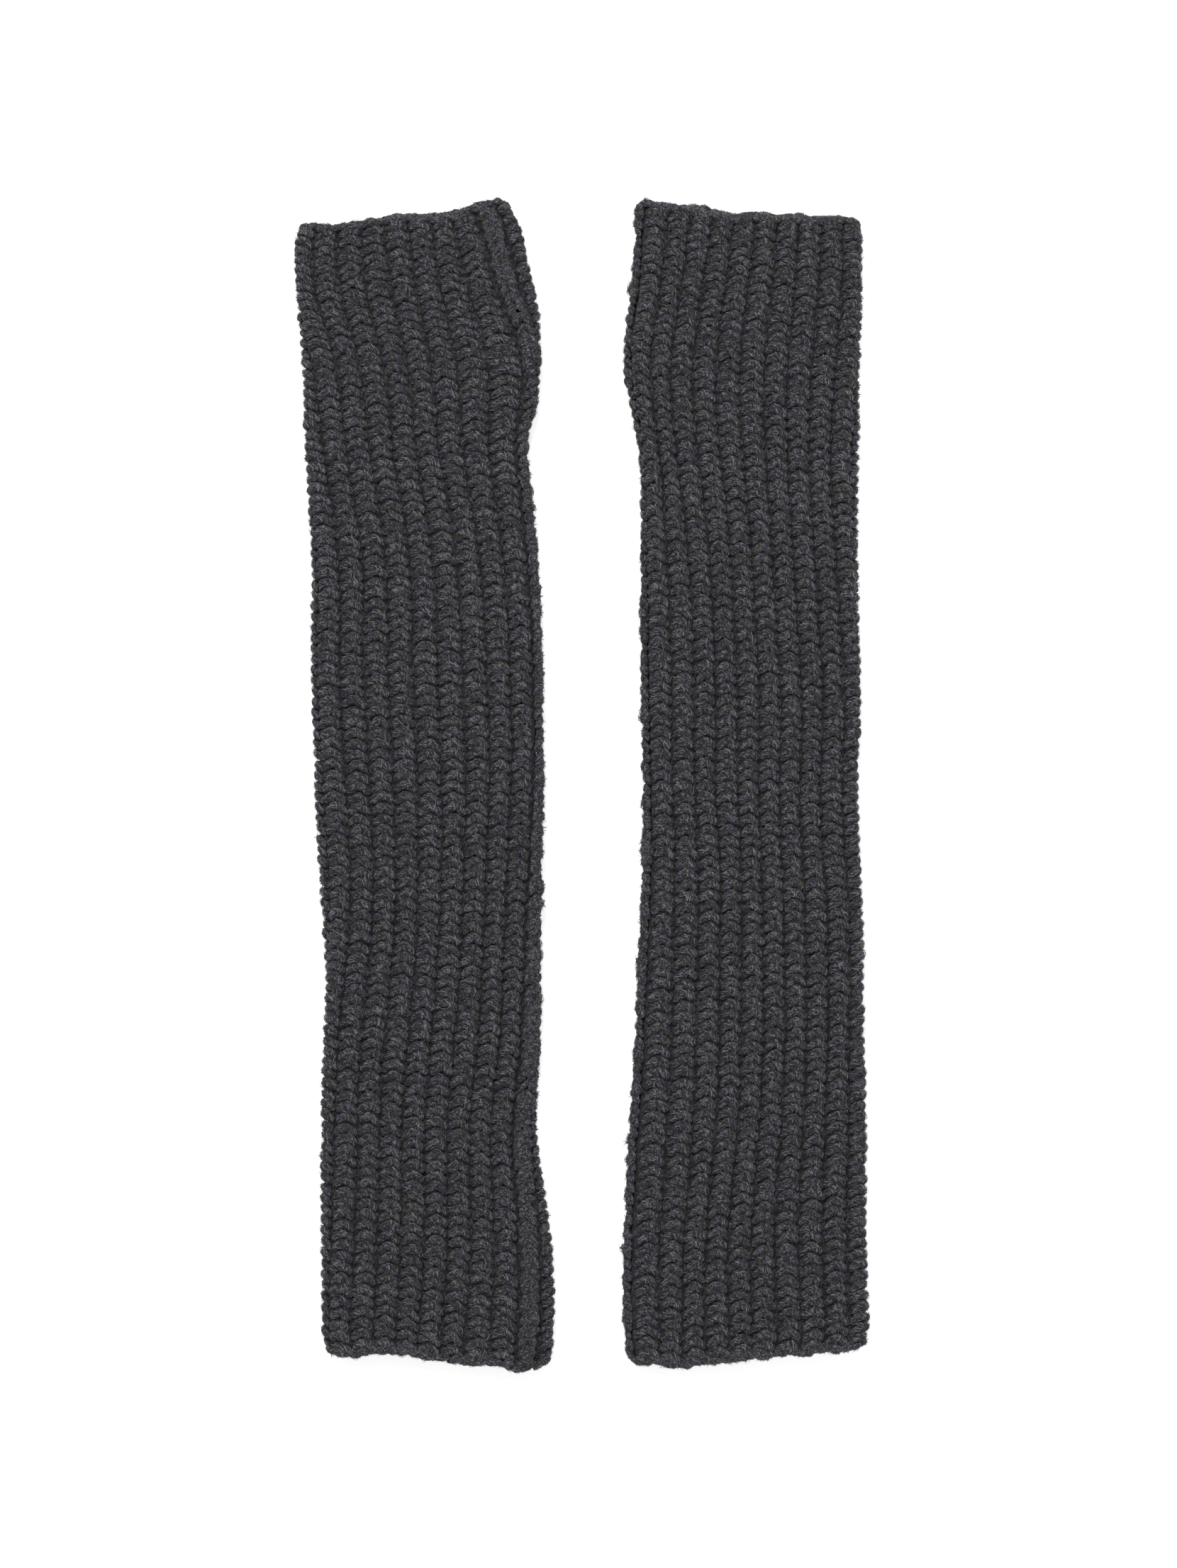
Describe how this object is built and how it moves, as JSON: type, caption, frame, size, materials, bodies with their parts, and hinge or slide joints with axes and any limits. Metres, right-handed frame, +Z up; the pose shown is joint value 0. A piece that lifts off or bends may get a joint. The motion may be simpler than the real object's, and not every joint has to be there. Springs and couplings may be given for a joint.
{
  "type": "fingerless gloves",
  "caption": "Pair of long fingerless gloves in chunky charcoal rib knit, laid flat side by side, each open at both ends and sewn along one edge around a thumb opening.",
  "frame": {"origin": "middle of the pair's underside, on the surface that the gloves lie on, midway between the outermost edges and between the finger and elbow ends", "axes": "+Y towards the finger edges, +X towards the right-hand glove, +Z up out of the backs of the hands"},
  "size_m": [0.2096, 0.431, 0.012],
  "materials": {
    "charcoal_rib_knit": "matte",
    "charcoal_seam_yarn": "matte",
    "charcoal_edge_yarn": "matte"
  },
  "bodies": {
    "left_arm": {"left_arm_upper_layer": "charcoal_rib_knit", "left_arm_lower_layer": "charcoal_rib_knit", "left_arm_fold": "charcoal_rib_knit", "left_arm_seam": "charcoal_seam_yarn", "left_elbow_edge": "charcoal_edge_yarn"},
    "left_hand": {"left_hand_upper_layer": "charcoal_rib_knit", "left_hand_lower_layer": "charcoal_rib_knit", "left_hand_fold": "charcoal_rib_knit", "left_hand_seam": "charcoal_seam_yarn", "left_wrist_seam": "charcoal_seam_yarn", "left_finger_edge": "charcoal_edge_yarn"},
    "right_arm": {"right_arm_upper_layer": "charcoal_rib_knit", "right_arm_lower_layer": "charcoal_rib_knit", "right_arm_fold": "charcoal_rib_knit", "right_arm_seam": "charcoal_seam_yarn", "right_elbow_edge": "charcoal_edge_yarn"},
    "right_hand": {"right_hand_upper_layer": "charcoal_rib_knit", "right_hand_lower_layer": "charcoal_rib_knit", "right_hand_fold": "charcoal_rib_knit", "right_hand_seam": "charcoal_seam_yarn", "right_wrist_seam": "charcoal_seam_yarn", "right_finger_edge": "charcoal_edge_yarn"}
  },
  "joints": [
    {"name": "left_fold", "type": "hinge", "parent": "left_arm", "child": "left_hand", "pos_m": [-0.057, 0, 0.0124], "axis": [1, 0, 0], "range_deg": [0, 178]},
    {"name": "right_lift", "type": "slide", "parent": "left_arm", "child": "right_arm", "axis": [0, 0, 1], "range_m": [0, 0.3]},
    {"name": "right_fold", "type": "hinge", "parent": "right_arm", "child": "right_hand", "pos_m": [0.0618, 0, 0.0124], "axis": [1, 0, 0], "range_deg": [0, 178]}
  ]
}
